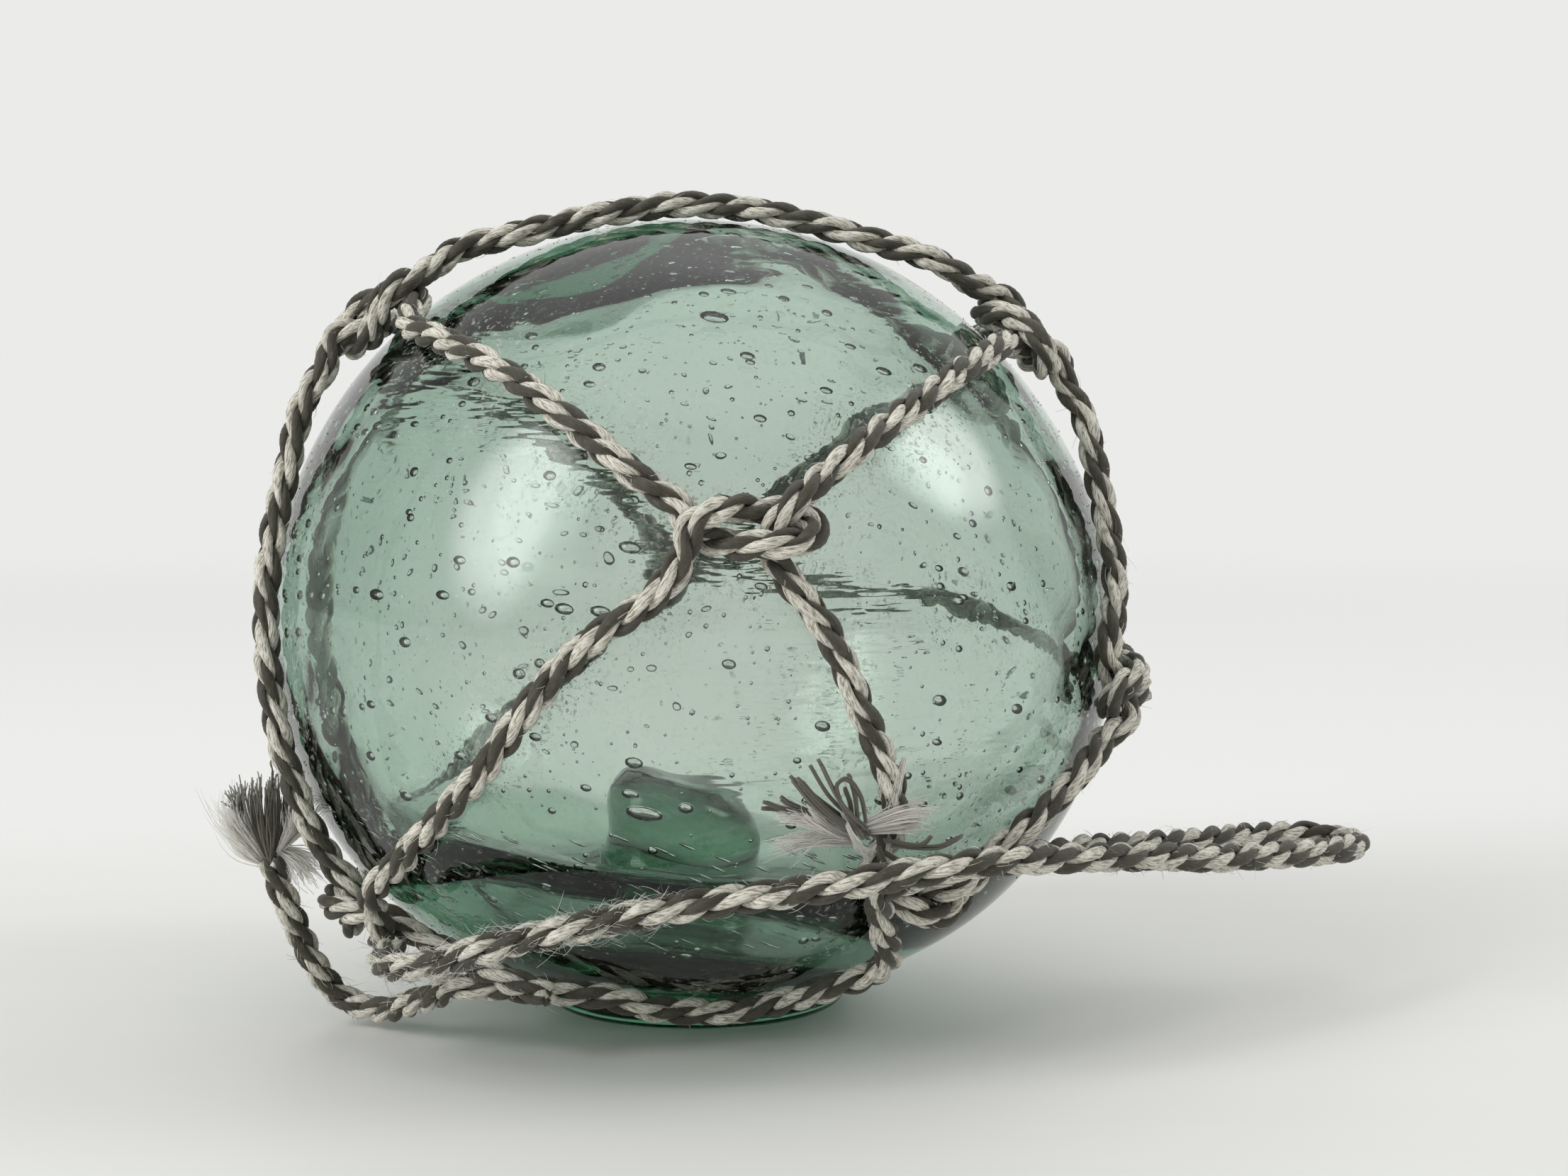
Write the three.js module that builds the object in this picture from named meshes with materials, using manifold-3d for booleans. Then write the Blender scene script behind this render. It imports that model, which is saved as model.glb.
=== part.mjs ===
// A blown glass net float in its knotted cord net, with a hanging loop and a frayed tail.
// Millimetres, +Z up. The origin is the middle of the seal's flat underside, on which the float stands.
// The side that the hanging loop crosses faces -Y.
import * as THREE from 'three';
import { mergeVertices } from 'three/addons/utils/BufferGeometryUtils.js';
import Module from 'manifold-3d';

const wasm = await Module();
wasm.setup();

// Glass
const glassWidth = 100;
const crownHeight = 47.7; // from the widest level up to the top
const bellyDepth = 45.2; // from the widest level down to the blown underside
const bellyFullness = 2.2; // 2 would be an ellipse, more is fuller
const sealDiameter = 36;
const sealRound = 1.7; // rounded lower edge of the seal
const sealStand = 1.3; // how far the seal's foot stands below the blown underside
const sealFillet = 0.8; // soft corner between the seal and the ball
const sealRings = 3;
const bellyRings = 10;
const crownRings = 11;
const glassSides = 42;
// Places where the blown wall came out a little flatter, as directions in degrees
const flats = [
  { azimuth: 70, elevation: 42, depth: 1.1, reach: 0.5 },
  { azimuth: -40, elevation: 62, depth: 0.6, reach: 0.4 },
];

// Cord
const cordDiameter = 3.2;
const glassGap = 0.4; // between the net and the glass
const endGap = 0.3; // between the net and the end of a free cord
const cordSides = 8;
const netSides = 6; // the net's cords are plainer than the free ones
const loopRings = 15; // sections of a knot's loop
const throughRings = 6; // sections of the cord that goes through it
const stubCut = 2; // sections that a cut end lacks
const freeRings = 2; // sections between two points of a free cord's route
const layerRise = 0.88; // how far a cord rises over one it crosses, in cord diameters
const armReach = 2.5; // how far a knot's arms go, in cord diameters
const armLength = 3.7; // where a run takes over from its knot
const armBend = 0.6; // how far a knot's arm already turns towards its run
const settleLength = 2.2; // how slowly a run comes down to the glass, in cord diameters
const runTurn = 10; // degrees of the ball between two sections of a run
const yarnDiameter = 1.2; // a bundle of frayed yarns
const yarnSides = 5;
const yarnRings = 2; // sections between two points of a bundle

const glassColour = 0xa3c2b2;
const cordColour = 0x8b8475;

const glassCentre = new THREE.Vector3(0, 0, bellyDepth + sealStand);

// A direction from the middle of the ball: azimuth 0 is the front, 90 the right side
function direction(azimuth, elevation) {
  const around = THREE.MathUtils.degToRad(azimuth);
  const up = THREE.MathUtils.degToRad(elevation);
  return new THREE.Vector3(
    Math.sin(around) * Math.cos(up),
    -Math.cos(around) * Math.cos(up),
    Math.sin(up),
  );
}

// From the middle of the ball to its surface, without the flats
function roundReach(way) {
  const across = Math.hypot(way.x, way.y) / (glassWidth / 2);
  if (way.z >= 0) return 1 / Math.hypot(across, way.z / crownHeight);
  const down = -way.z / bellyDepth;
  return (across ** bellyFullness + down ** bellyFullness) ** (-1 / bellyFullness);
}

// How far the flats take the surface in
function flatDepth(way) {
  return flats.reduce((depth, flat) => {
    const away = 1 - way.dot(direction(flat.azimuth, flat.elevation));
    return depth + flat.depth * Math.max(0, 1 - away / flat.reach) ** 2;
  }, 0);
}

// A point so high over the glass
function overGlass(way, height) {
  const unit = way.clone().normalize();
  return unit.clone().multiplyScalar(roundReach(unit) - flatDepth(unit) + height).add(glassCentre);
}

// The ball and the seal that closes its blowing hole are one lump of glass
function makeGlass() {
  const sealRadius = sealDiameter / 2;
  const neck = sealRadius + sealFillet;
  const neckDrop = bellyDepth * (1 - (neck / (glassWidth / 2)) ** bellyFullness) ** (1 / bellyFullness);
  const neckAngle = Math.atan2(neckDrop, neck);
  const profile = [new THREE.Vector2(0, 0)];
  for (let i = 0; i <= sealRings; i += 1) {
    const turn = ((i / sealRings) * Math.PI) / 2;
    const out = sealRadius - sealRound * (1 - Math.sin(turn));
    profile.push(new THREE.Vector2(out, sealRound * (1 - Math.cos(turn))));
  }
  profile.push(new THREE.Vector2(sealRadius, glassCentre.z - neckDrop - sealFillet / 2));
  const rings = bellyRings + crownRings;
  for (let i = 0; i <= rings; i += 1) {
    const below = i < bellyRings;
    const share = below ? 1 - i / bellyRings : (i - bellyRings) / crownRings;
    const up = below ? -neckAngle * share : (share * Math.PI) / 2;
    const way = new THREE.Vector3(Math.cos(up), 0, Math.sin(up));
    const reach = roundReach(way);
    profile.push(new THREE.Vector2(i === rings ? 0 : way.x * reach, way.z * reach + glassCentre.z));
  }
  const ball = new THREE.LatheGeometry(profile, glassSides).rotateX(Math.PI / 2);
  const place = ball.attributes.position;
  for (let i = 0; i < place.count; i += 1) {
    const point = new THREE.Vector3().fromBufferAttribute(place, i).sub(glassCentre);
    const way = point.clone().normalize();
    point.addScaledVector(way, -flatDepth(way)).add(glassCentre);
    place.setXYZ(i, point.x, point.y, point.z);
  }
  return ball;
}

// A smooth curve that runs at an even pace from point to point, however far apart they are
class PacedCurve extends THREE.CatmullRomCurve3 {
  constructor(points) {
    super(points, false, 'centripetal');
  }

  getUtoTmapping(share) {
    return share;
  }
}

// A round tube through points, with so many sections from one to the next
function tube(points, diameter, sides, rings) {
  const corners = Array.from({ length: sides }, (_, i) => {
    const turn = (i / sides) * 2 * Math.PI;
    return new THREE.Vector2(Math.cos(turn), Math.sin(turn)).multiplyScalar(diameter / 2);
  });
  return new THREE.ExtrudeGeometry(new THREE.Shape(corners), {
    steps: (points.length - 1) * rings,
    bevelEnabled: false,
    extrudePath: new PacedCurve(points),
  });
}

function toSolid(geometry) {
  const bare = geometry.clone().deleteAttribute('normal').deleteAttribute('uv');
  const merged = mergeVertices(bare, 1e-4);
  return new wasm.Manifold(
    new wasm.Mesh({
      numProp: 3,
      vertProperties: new Float32Array(merged.attributes.position.array),
      triVerts: new Uint32Array(merged.index.array),
    }),
  );
}

// Joins solids that touch into one
function fuse(geometries) {
  const mesh = geometries
    .map(toSolid)
    .reduce((sum, next) => sum.add(next))
    .getMesh();
  const joined = new THREE.BufferGeometry();
  joined.setAttribute('position', new THREE.BufferAttribute(mesh.vertProperties, 3));
  joined.setIndex(new THREE.BufferAttribute(mesh.triVerts, 1));
  joined.computeVertexNormals();
  return joined;
}

// The knots, by the direction of their middle and the turn of their pattern from east, seen from outside.
// A lift, in cord diameters, is for a knot that stands off the glass.
const knots = {
  front: { azimuth: 6.8, elevation: 13.3, turn: 0, lift: 0 },
  upperLeft: { azimuth: -73, elevation: 42.5, turn: -136, lift: 0.15 },
  upperRight: { azimuth: 74, elevation: 40.5, turn: -119, lift: 0.15 },
  lowerLeft: { azimuth: -65, elevation: -38, turn: 165, lift: 0.15 },
  lowerRight: { azimuth: 31, elevation: -30, turn: -15, lift: 0 },
  right: { azimuth: 67, elevation: -7, turn: -170, lift: 0 },
  back: { azimuth: 182, elevation: 5, turn: -2, lift: 0 },
};

// A knot ties two passes of cord. Their points are across, up and layer, in cord diameters, where layer 0
// lies on the glass and layer 1 over another cord. The loop goes once round the through cord.
const pattern = (points, rings) =>
  new THREE.CatmullRomCurve3(points.map((point) => new THREE.Vector3(...point))).getPoints(rings);
const passes = {
  loop: pattern(
    [
      [-armReach, -0.44, 0.6],
      [-1.63, 0.28, 1],
      [-0.72, 0.62, 0.6],
      [0.41, 0.66, 0],
      [1.31, 0.47, 0.3],
      [1.72, 0, 0.6],
      [1.22, -0.44, 0.9],
      [0.41, -0.53, 1],
      [-0.72, -0.47, 0.5],
      [-1.63, -0.09, 0],
      [-armReach, 0.53, 0],
    ],
    loopRings,
  ),
  through: pattern(
    [
      [1.75, 1.22, 0.6],
      [1.06, 0.75, 1],
      [0.63, 0.19, 0.5],
      [0.53, -0.44, 0],
      [0.84, -1.25, 0],
      [1.25, -1.95, 0],
    ],
    throughRings,
  ),
};

// The three cords of the net, by the knots they go through. A run that doesn't take the shortest way to the
// next knot goes by other places. The cut end of a cord that starts in a knot is short.
const netCords = [
  {
    stops: [
      { knot: 'right', pass: 'loop' },
      { knot: 'back', pass: 'loop' },
      { knot: 'upperRight', pass: 'loop', backwards: true, by: [[8, 81]] },
      { knot: 'upperLeft', pass: 'loop', by: [[-25.6, 32.4], [-11.3, 23], [-4.5, 17.8]] },
      { knot: 'front', pass: 'loop', backwards: true, by: [[-14.6, -1], [-26, -14.5]] },
      { knot: 'lowerLeft', pass: 'loop', by: [[-27, -48]] },
    ],
    endLayer: 0.85,
  },
  {
    stops: [
      { knot: 'lowerRight', pass: 'through', backwards: true },
      { knot: 'right', pass: 'through' },
      { knot: 'upperRight', pass: 'through' },
      { knot: 'front', pass: 'through', by: [[15.2, 1.5], [21.5, -12]] },
      {
        knot: 'lowerRight',
        pass: 'loop',
        backwards: true,
        by: [[34, -39], [31, -44.5], [25, -52], [15, -59.5], [3, -62], [-12, -58], [-25, -51.5], [-34, -46.5]],
      },
    ],
    endLayer: 0,
    leadsToTail: true,
  },
  {
    stops: [
      { knot: 'upperLeft', pass: 'through', backwards: true },
      { knot: 'lowerLeft', pass: 'through', backwards: true },
      { knot: 'back', pass: 'through', backwards: true },
    ],
    closed: true,
  },
];

// The free cords, by hand along the middle of the cord
const tailRoute = [
  [-26.6, -25.4, 7],
  [-28.6, -23.4, 5.9],
  [-30.6, -21.3, 4.8],
  [-32.5, -19.1, 3.8],
  [-34.4, -17, 2.9],
  [-36.4, -15, 2.3],
  [-38.6, -13.5, 2.3],
  [-40.8, -12.9, 3.2],
  [-42.5, -13.1, 4.9],
  [-43.7, -13.9, 7],
  [-44.7, -14.8, 9.4],
  [-45.6, -15.6, 11.8],
  [-46.4, -16.3, 14.3],
  [-47.3, -17, 17.2],
  [-48.1, -17.6, 20.2],
].map((point) => new THREE.Vector3(...point));
const loopRoute = [
  [-33.2, -27.2, 11.9],
  [-34.1, -30.6, 11.2],
  [-32.4, -34.4, 11.3],
  [-28.4, -38.6, 12.3],
  [-21, -43.2, 15.2],
  [-14, -45.7, 17.2],
  [-6.6, -47.2, 19],
  [0.3, -48.2, 20.4],
  [7.2, -49, 21.4],
  [14.4, -49.2, 22.4],
  [21.4, -48.4, 23.4],
  [27, -46.6, 23.9],
  [32.4, -43.6, 23.9],
  [38.2, -39.6, 23.4],
  [44.6, -35.2, 22.8],
  [51, -30.5, 22],
  [57.7, -25.5, 21],
  [65.2, -19.3, 20.2],
  [72.6, -12.2, 19.4],
  [78, -6, 18.8],
  [80.2, 0.8, 18.5],
  [75.6, 4.7, 18.8],
  [70, 1.6, 19.3],
  [63.6, -4.3, 19.8],
  [56.2, -11.3, 20.5],
  [47.2, -19.8, 21.4],
  [39.4, -27, 22],
  [34.2, -31.7, 22.2],
].map((point) => new THREE.Vector3(...point));

// The net's cut end lies frayed on the glass: tips by azimuth and elevation, and their height over it
const frontFrayRoot = [24.5, -23.5];
const frontFrayRise = 1.6;
const frontFray = [
  [[7.9, -19], 1.2],
  [[11.1, -14.7], 2.2],
  [[14, -11.5], 3],
  [[18, -14], 2],
  [[27, -17], 1],
  [[8, -23], 0.3],
];

// The tail's frayed yarns, by their tips from the end of the tail
const tailFray = [
  [-3.2, -1.4, 7.2],
  [-1.2, -2.6, 9.4],
  [-0.4, -0.6, 11],
  [-1.6, 1.6, 8],
  [0.9, -2.2, 6.4],
];

const diameters = (count) => count * cordDiameter;
const cordHeight = (layer) => cordDiameter / 2 + glassGap + diameters(layer * layerRise);

// A point of a knot's pattern, laid on the ball
function onKnot({ azimuth, elevation, turn, lift }, { x: across, y: up, z: layer }) {
  const way = direction(azimuth, elevation);
  const east = direction(azimuth + 90, 0);
  const right = east.clone().applyAxisAngle(way, THREE.MathUtils.degToRad(turn));
  const above = way.clone().cross(right);
  const place = way
    .clone()
    .multiplyScalar(roundReach(way))
    .addScaledVector(right, diameters(across))
    .addScaledVector(above, diameters(up));
  return overGlass(place, cordHeight(layer) + diameters(lift));
}

function makePass({ knot, pass, backwards, by = [] }) {
  const places = backwards ? [...passes[pass]].reverse() : passes[pass];
  const { azimuth, elevation, lift } = knots[knot];
  return {
    way: direction(azimuth, elevation),
    onward: by.map((place) => direction(...place)),
    points: places.map((place) => onKnot(knots[knot], place)),
    enterRise: places[0].z * layerRise + lift,
    leaveRise: places.at(-1).z * layerRise + lift,
  };
}

// The stretch of a run beyond the arms of its knots: it starts high and settles on the glass
function makeRun(ways, startRise, endRise, endArm) {
  const reach = glassWidth / 2;
  const legs = ways.slice(1).map((way, i) => ({ from: ways[i], way, angle: ways[i].angleTo(way) }));
  const total = legs.reduce((sum, leg) => sum + leg.angle, 0);
  const first = diameters(armLength) / reach;
  const last = total - diameters(endArm) / reach;
  const count = Math.max(2, Math.round((last - first) / THREE.MathUtils.degToRad(runTurn)));
  const settled = (angle) => Math.exp(-(((angle * reach) / diameters(settleLength)) ** 2));
  return Array.from({ length: count + 1 }, (_, i) => {
    const angle = first + ((last - first) * i) / count;
    let rest = angle;
    let leg = 0;
    while (leg < legs.length - 1 && rest > legs[leg].angle) {
      rest -= legs[leg].angle;
      leg += 1;
    }
    const axis = legs[leg].from.clone().cross(legs[leg].way).normalize();
    const way = legs[leg].from.clone().applyAxisAngle(axis, rest);
    const rise = startRise * settled(angle - first) + endRise * settled(last - angle);
    return overGlass(way, cordHeight(0) + diameters(rise));
  });
}

// Turns a knot's arm towards the point where its run begins
function bendArm(pass, arm, runStart, rise) {
  const runWay = runStart.clone().sub(glassCentre).normalize();
  const straight = pass.way.clone().lerp(runWay, armReach / armLength);
  const way = pass.points[arm].clone().sub(glassCentre).normalize().lerp(straight, armBend);
  pass.points[arm] = overGlass(way, cordHeight(0) + diameters(rise));
}

// The net's bottom cord leads straight to the tail
const tailWay = tailRoute[1].clone().sub(tailRoute[0]).normalize();
const tailLead = [diameters(1.5), endGap].map((back) => tailRoute[0].clone().addScaledVector(tailWay, -back));

// The middle line of one cord of the net, and where it is in the middle of a knot
function traceNetCord({ stops, endLayer, leadsToTail, closed }) {
  const made = stops.map(makePass);
  const runs = [];
  made.forEach((pass, i) => {
    const next = made[i + 1] ?? (closed ? made[0] : null);
    const run = next
      ? makeRun([pass.way, ...pass.onward, next.way], pass.leaveRise, next.enterRise, armLength)
      : makeRun([pass.way, ...pass.onward], pass.leaveRise, endLayer * layerRise, 0);
    bendArm(pass, pass.points.length - 1, run[0], pass.leaveRise);
    if (next) bendArm(next, 0, run.at(-1), next.enterRise);
    runs.push(run);
  });
  const points = [];
  const middles = [];
  made.forEach((pass, i) => {
    middles.push(points.length + Math.floor(pass.points.length / 2));
    points.push(...pass.points, ...runs[i]);
  });
  if (leadsToTail) points.push(...tailLead);
  return { points, middles };
}

// Tubes for one cord, parted in the middle of each knot so that none of them crosses itself
function makeNetCord(cord) {
  const { points, middles } = traceNetCord(cord);
  const upTo = middles[0] + 2;
  const start = cord.closed ? [] : [points.slice(stubCut, upTo)];
  const between = middles.slice(1).map((middle, i) => points.slice(middles[i], middle + 2));
  const end = points.slice(middles.at(-1)).concat(cord.closed ? points.slice(0, upTo) : []);
  return [...start, ...between, end].map((piece) => tube(piece, cordDiameter, netSides, 1));
}

// Frayed yarns that spread from a point
function makeFray(root, spread) {
  return spread.map(([x, y, z]) => {
    const tip = new THREE.Vector3(x, y, z);
    const bend = new THREE.Vector3(x * 0.35, y * 0.35, z * 0.55);
    const start = tip.clone().multiplyScalar(-0.15);
    const points = [start, bend, tip].map((point) => point.add(root));
    return tube(points, yarnDiameter, yarnSides, yarnRings);
  });
}

const frayOnGlass = frontFray.map(([tip, height]) => {
  const root = direction(...frontFrayRoot);
  const far = direction(...tip);
  const way = (share) => root.clone().lerp(far, share);
  const rises = [frontFrayRise, frontFrayRise + height / 2, height];
  const points = rises.map((rise, i) => overGlass(way(i / 2), yarnDiameter / 2 + glassGap + rise));
  return tube(points, yarnDiameter, yarnSides, yarnRings);
});

function addPart(name, geometry, colour, roughness) {
  const mesh = new THREE.Mesh(
    geometry,
    new THREE.MeshStandardMaterial({ color: colour, roughness, metalness: 0 }),
  );
  mesh.name = name;
  part.add(mesh);
}

const part = new THREE.Group();
addPart('glass_float', makeGlass(), glassColour, 0.1);
addPart('cord_net', fuse([...netCords.flatMap(makeNetCord), ...frayOnGlass]), cordColour, 0.85);
addPart('hanging_loop', tube(loopRoute, cordDiameter, cordSides, freeRings), cordColour, 0.85);
addPart(
  'left_tail',
  fuse([
    tube(tailRoute, cordDiameter, cordSides, 1),
    ...makeFray(tailRoute.at(-1), tailFray),
  ]),
  cordColour,
  0.85,
);

export default part;
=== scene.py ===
# A blown glass net float in its knotted cord net, standing on a pale table.
# Lengths in the settings are millimetres. Metres are used only where a mesh, light or camera is placed.
import math

import bpy
import numpy as np
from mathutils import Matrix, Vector, noise


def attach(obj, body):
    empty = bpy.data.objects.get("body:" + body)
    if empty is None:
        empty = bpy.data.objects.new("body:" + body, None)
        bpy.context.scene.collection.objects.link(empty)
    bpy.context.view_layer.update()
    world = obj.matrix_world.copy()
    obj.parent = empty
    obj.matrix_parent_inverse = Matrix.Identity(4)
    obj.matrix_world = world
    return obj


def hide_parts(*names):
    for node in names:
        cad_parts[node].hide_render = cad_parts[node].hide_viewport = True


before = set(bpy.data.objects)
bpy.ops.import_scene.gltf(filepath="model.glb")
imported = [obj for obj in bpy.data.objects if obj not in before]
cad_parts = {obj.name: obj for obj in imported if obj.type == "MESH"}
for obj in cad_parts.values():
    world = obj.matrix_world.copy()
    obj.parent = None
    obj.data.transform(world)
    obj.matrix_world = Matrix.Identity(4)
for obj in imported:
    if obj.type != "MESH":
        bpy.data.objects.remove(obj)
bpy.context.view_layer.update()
bpy.ops.object.select_all(action="DESELECT")
mm = 0.001
chance = np.random.default_rng(41)

# Camera, as the photograph was taken: close and a little above the middle of the ball
view = {"place": (0, -301.26, 67.57), "down": 3.379, "right": 2.011, "lens": 57.6}
bpy.ops.object.camera_add(
    location=[mm * part for part in view["place"]],
    rotation=(math.radians(90 - view["down"]), 0, math.radians(-view["right"])),
)
camera = bpy.context.object
camera.data.lens = view["lens"]
camera.data.sensor_width = 36
camera.data.clip_start = 0.01
bpy.context.scene.camera = camera
print("camera placed")

# The round of the glass, which the cords follow
glass = {
    "width": 100, "crown": 47.7, "belly": 45.2, "fullness": 2.2,
    "sealWidth": 36, "sealRound": 1.7, "sealStand": 1.3, "sealFillet": 0.8,
    "flats": [(70, 42, 1.1, 0.5), (-40, 62, 0.6, 0.4)],
}
glassMiddle = np.array([0, 0, glass["belly"] + glass["sealStand"]])


def unit(vectors):
    return vectors / np.maximum(np.linalg.norm(vectors, axis=-1, keepdims=True), 1e-9)


# A direction from the middle of the ball: azimuth 0 is the front, 90 the right side
def direction(azimuth, elevation):
    around, up = math.radians(azimuth), math.radians(elevation)
    return np.array([math.sin(around) * math.cos(up), -math.cos(around) * math.cos(up), math.sin(up)])


def roundReach(ways):
    across = np.maximum(np.hypot(ways[..., 0], ways[..., 1]) / (glass["width"] / 2), 1e-9)
    up = ways[..., 2]
    crown = 1 / np.hypot(across, up / glass["crown"])
    down = np.maximum(-up, 0) / glass["belly"]
    belly = (across ** glass["fullness"] + down ** glass["fullness"]) ** (-1 / glass["fullness"])
    return np.where(up >= 0, crown, belly)


def flatDepth(ways):
    return sum(
        depth * np.maximum(0, 1 - (1 - ways @ direction(azimuth, elevation)) / spread) ** 2
        for azimuth, elevation, depth, spread in glass["flats"]
    )


def overGlass(way, height):
    way = unit(np.asarray(way, float))
    return way * (roundReach(way) - flatDepth(way) + height)[..., None] + glassMiddle


cord = {
    "width": 3.2, "gap": 0.15, "rise": 0.88, "arm": 2.5, "armLength": 3.7, "armBend": 0.6,
    "settle": 2.2, "runTurn": 10, "loopRings": 15, "throughRings": 6, "stubCut": 2,
}


# A smooth line through points, even from point to point
def smoothLine(points, count):
    points = np.asarray(points, float)
    ends = np.vstack([2 * points[0] - points[1], points, 2 * points[-1] - points[-2]])
    line = []
    for place in np.linspace(0, len(points) - 1, count):
        leg = min(int(place), len(points) - 2)
        share = place - leg
        a, b, c, d = ends[leg:leg + 4]
        first, middle, last = (
            max(np.linalg.norm(q - p) ** 0.5, 1e-3) for p, q in ((a, b), (b, c), (c, d))
        )
        leave = ((b - a) / first - (c - a) / (first + middle) + (c - b) / middle) * middle
        arrive = ((c - b) / middle - (d - b) / (middle + last) + (d - c) / last) * middle
        square, cube = share ** 2, share ** 3
        line.append(
            b * (2 * cube - 3 * square + 1) + leave * (cube - 2 * square + share)
            + c * (3 * square - 2 * cube) + arrive * (cube - square)
        )
    return np.array(line)


# Points at even steps along a line
def evenLine(line, step):
    lengths = np.concatenate([[0], np.cumsum(np.linalg.norm(np.diff(line, axis=0), axis=1))])
    count = max(2, round(lengths[-1] / step) + 1)
    places = np.linspace(0, lengths[-1], count)
    return np.stack([np.interp(places, lengths, line[:, axis]) for axis in range(3)], axis=1)


knots = {  # azimuth and elevation of the middle, turn of the pattern, lift off the glass
    "front": (6.8, 13.3, 0, 0),
    "upperLeft": (-73, 42.5, -136, 0.15),
    "upperRight": (74, 40.5, -119, 0.15),
    "lowerLeft": (-65, -38, 165, 0.15),
    "lowerRight": (31, -30, -15, 0),
    "right": (67, -7, -170, 0),
    "back": (182, 5, -2, 0),
}
arm = cord["arm"]
passes = {  # across, up and layer, in cord widths
    "loop": smoothLine(
        [(-arm, -0.44, 0.6), (-1.63, 0.28, 1), (-0.72, 0.62, 0.6), (0.41, 0.66, 0), (1.31, 0.47, 0.3),
         (1.72, 0, 0.6), (1.22, -0.44, 0.9), (0.41, -0.53, 1), (-0.72, -0.47, 0.5), (-1.63, -0.09, 0),
         (-arm, 0.53, 0)],
        cord["loopRings"] + 1,
    ),
    "through": smoothLine(
        [(1.75, 1.22, 0.6), (1.06, 0.75, 1), (0.63, 0.19, 0.5), (0.53, -0.44, 0), (0.84, -1.25, 0),
         (1.25, -1.95, 0)],
        cord["throughRings"] + 1,
    ),
}
netCords = [  # knot, pass, whether it runs backwards, and the places the next run goes by
    {"stops": [
        ("right", "loop", False, []),
        ("back", "loop", False, []),
        ("upperRight", "loop", True, [(8, 81)]),
        ("upperLeft", "loop", False, [(-25.6, 32.4), (-11.3, 23), (-4.5, 17.8)]),
        ("front", "loop", True, [(-14.6, -1), (-26, -14.5)]),
        ("lowerLeft", "loop", False, [(-27, -48)])],
     "endLayer": 0.85},
    {"stops": [
        ("lowerRight", "through", True, []),
        ("right", "through", False, []),
        ("upperRight", "through", False, []),
        ("front", "through", False, [(15.2, 1.5), (21.5, -12)]),
        ("lowerRight", "loop", True,
         [(34, -39), (31, -44.5), (25, -52), (15, -59.5), (3, -62), (-12, -58), (-25, -51.5), (-34, -46.5)])],
     "endLayer": 0},
    {"stops": [
        ("upperLeft", "through", True, []),
        ("lowerLeft", "through", True, []),
        ("back", "through", True, [])],
     "closed": True},
]
tailRoute = np.array([
    (-26.6, -25.4, 7), (-28.6, -23.4, 5.9), (-30.6, -21.3, 4.8), (-32.5, -19.1, 3.8), (-34.4, -17, 2.9),
    (-36.4, -15, 2.3), (-38.6, -13.5, 2.3), (-40.8, -12.9, 3.2), (-42.5, -13.1, 4.9), (-43.7, -13.9, 7),
    (-44.7, -14.8, 9.4), (-45.6, -15.6, 11.8), (-46.4, -16.3, 14.3), (-47.3, -17, 17.2),
    (-48.1, -17.6, 20.2),
])
loopRoute = np.array([
    (-33.2, -27.2, 11.9), (-34.1, -30.6, 11.2), (-32.4, -34.4, 11.3), (-28.4, -38.6, 12.3),
    (-21, -43.2, 15.2), (-14, -45.7, 17.2), (-6.6, -47.2, 19), (0.3, -48.2, 20.4), (7.2, -49, 21.4),
    (14.4, -49.2, 22.4), (21.4, -48.4, 23.4), (27, -46.6, 23.9), (32.4, -43.6, 23.9),
    (38.2, -39.6, 23.4), (44.6, -35.2, 22.8), (51, -30.5, 22), (57.7, -25.5, 21), (65.2, -19.3, 20.2),
    (72.6, -12.2, 19.4), (78, -6, 18.8), (80.2, 0.8, 18.5), (75.6, 4.7, 18.8), (70, 1.6, 19.3),
    (63.6, -4.3, 19.8), (56.2, -11.3, 20.5), (47.2, -19.8, 21.4), (39.4, -27, 22), (34.2, -31.7, 22.2),
])


def cordHeight(layer):
    return cord["width"] * (0.5 + layer * cord["rise"]) + cord["gap"]


def turned(vector, axis, angle):
    return (
        vector * math.cos(angle) + np.cross(axis, vector) * math.sin(angle)
        + axis * (axis @ vector) * (1 - math.cos(angle))
    )


# A point of a knot's pattern, laid on the ball
def onKnot(knot, across, up, layer):
    azimuth, elevation, turn, lift = knots[knot]
    way = direction(azimuth, elevation)
    right = turned(direction(azimuth + 90, 0), way, math.radians(turn))
    above = np.cross(way, right)
    place = way * roundReach(way) + (right * across + above * up) * cord["width"]
    return overGlass(place, cordHeight(layer) + cord["width"] * lift)


def angleBetween(a, b):
    return math.acos(max(-1, min(1, float(a @ b))))


# The stretch of a run beyond the arms of its knots: it starts high and settles on the glass
def makeRun(ways, startRise, endRise, endArm):
    reach = glass["width"] / 2
    angles = [angleBetween(a, b) for a, b in zip(ways, ways[1:])]
    first = cord["width"] * cord["armLength"] / reach
    last = sum(angles) - cord["width"] * endArm / reach
    count = max(2, math.floor((last - first) / math.radians(cord["runTurn"]) + 0.5))
    points = []
    for angle in np.linspace(first, last, count + 1):
        rest, leg = angle, 0
        while leg < len(angles) - 1 and rest > angles[leg]:
            rest -= angles[leg]
            leg += 1
        way = turned(ways[leg], unit(np.cross(ways[leg], ways[leg + 1])), rest)
        rise = sum(
            height * math.exp(-((away * reach / (cord["width"] * cord["settle"])) ** 2))
            for height, away in ((startRise, angle - first), (endRise, last - angle))
        )
        points.append(overGlass(way, cordHeight(0) + cord["width"] * rise))
    return points


# Turns a knot's arm towards the point where its run begins
def bendArm(way, point, runStart, rise):
    straight = way + (unit(runStart - glassMiddle) - way) * (cord["arm"] / cord["armLength"])
    bent = unit(point - glassMiddle)
    bent = bent + (straight - bent) * cord["armBend"]
    return overGlass(bent, cordHeight(0) + cord["width"] * rise)


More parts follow.
